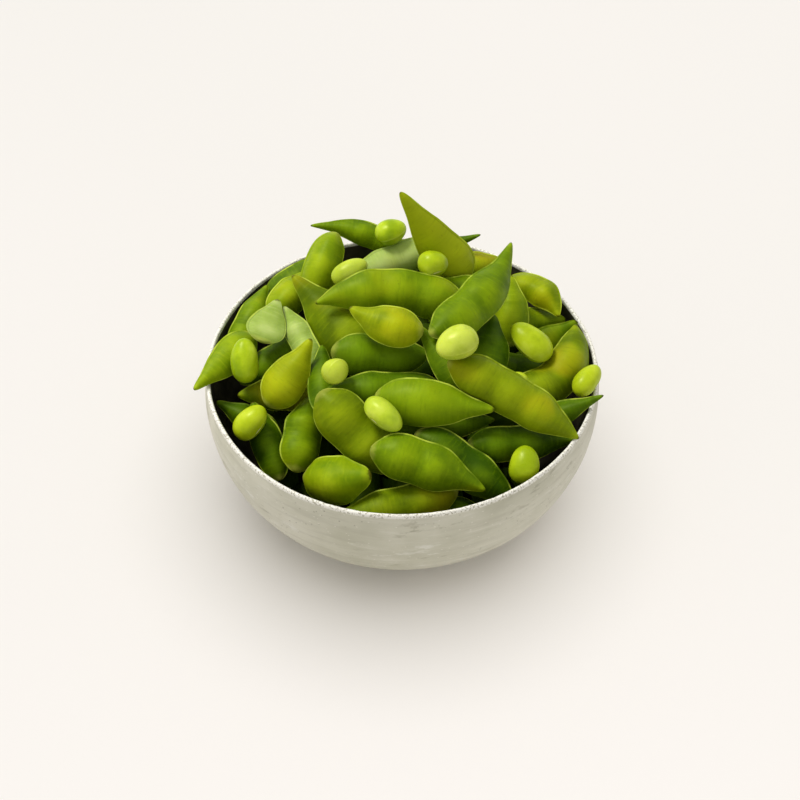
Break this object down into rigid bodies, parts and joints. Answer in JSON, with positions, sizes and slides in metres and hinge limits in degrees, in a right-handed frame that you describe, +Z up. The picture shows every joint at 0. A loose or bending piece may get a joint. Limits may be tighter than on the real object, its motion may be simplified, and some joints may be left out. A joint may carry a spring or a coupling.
{
  "type": "edamame pod bundle",
  "caption": "Heap of green soybean pods and loose shelled beans held in a plain round stoneware bowl.",
  "frame": {"origin": "middle of the bowl's flat foot, on the surface it stands on", "axes": "+Z up out of the bowl, +Y towards the side that the tallest pod stands on, +X to the right as seen from the low side of the heap"},
  "size_m": [0.1443, 0.1422, 0.105],
  "materials": {
    "bowl_stoneware": "satin",
    "pod_green": "satin",
    "pod_bright": "satin",
    "pod_yellow": "satin",
    "pod_olive": "satin",
    "pod_deep": "satin",
    "pod_pale": "satin",
    "shelled_bean": "satin"
  },
  "bodies": {
    "root": {"bowl": "bowl_stoneware", "buried_pods_low": "pod_deep", "buried_pods_high": "pod_deep", "pod_spire": "pod_yellow", "pod_right_blade": "pod_green", "pod_centre_arch": "pod_green", "pod_left_wedge": "pod_olive", "pod_yellow_single": "pod_yellow", "pod_centre_dark": "pod_deep", "pod_centre_lower": "pod_deep", "pod_small_upright": "pod_green", "pod_front_leaf": "pod_green", "pod_right_long": "pod_olive", "pod_right_lower": "pod_deep", "pod_front_steep": "pod_deep", "pod_front_long": "pod_green", "pod_left_diagonal": "pod_olive", "pod_fat_single": "pod_bright", "pod_front_rim": "pod_olive", "pod_left_stub": "pod_green", "pod_left_tucked": "pod_deep", "pod_left_leaf": "pod_yellow", "pod_left_behind_leaf": "pod_deep", "pod_left_olive": "pod_olive", "pod_left_overhang": "pod_bright", "pod_back_right_curl": "pod_yellow", "pod_back_right_low": "pod_green", "pod_back_right_light": "pod_bright", "pod_right_round": "pod_deep", "pod_right_point": "pod_green", "pod_right_curve": "pod_olive", "pod_right_overhang": "pod_deep", "pod_back_left_big": "pod_bright", "pod_back_left_thin": "pod_green", "pod_back_pale": "pod_pale", "pod_back_right_tip": "pod_deep", "pod_back_right_ridge": "pod_olive", "pod_behind_arch": "pod_green", "pod_left_back_rim": "pod_green", "pod_left_cap": "pod_bright", "pod_left_flat": "pod_pale", "pod_left_rim": "pod_green", "pod_left_strip": "pod_pale", "pod_left_low": "pod_deep", "pod_gap_left": "pod_deep", "pod_gap_right": "pod_deep", "pod_gap_front": "pod_deep", "pod_gap_front_rim": "pod_deep", "bean_centre": "shelled_bean", "bean_left_rim": "shelled_bean", "bean_left_low": "shelled_bean", "bean_front_yellow": "shelled_bean", "bean_left_nub": "shelled_bean", "bean_front_rim": "shelled_bean", "bean_right": "shelled_bean", "bean_right_low": "shelled_bean", "bean_back_round": "shelled_bean", "bean_back_left": "shelled_bean", "bean_right_rim": "shelled_bean", "bean_back_top": "shelled_bean"}
  },
  "joints": []
}
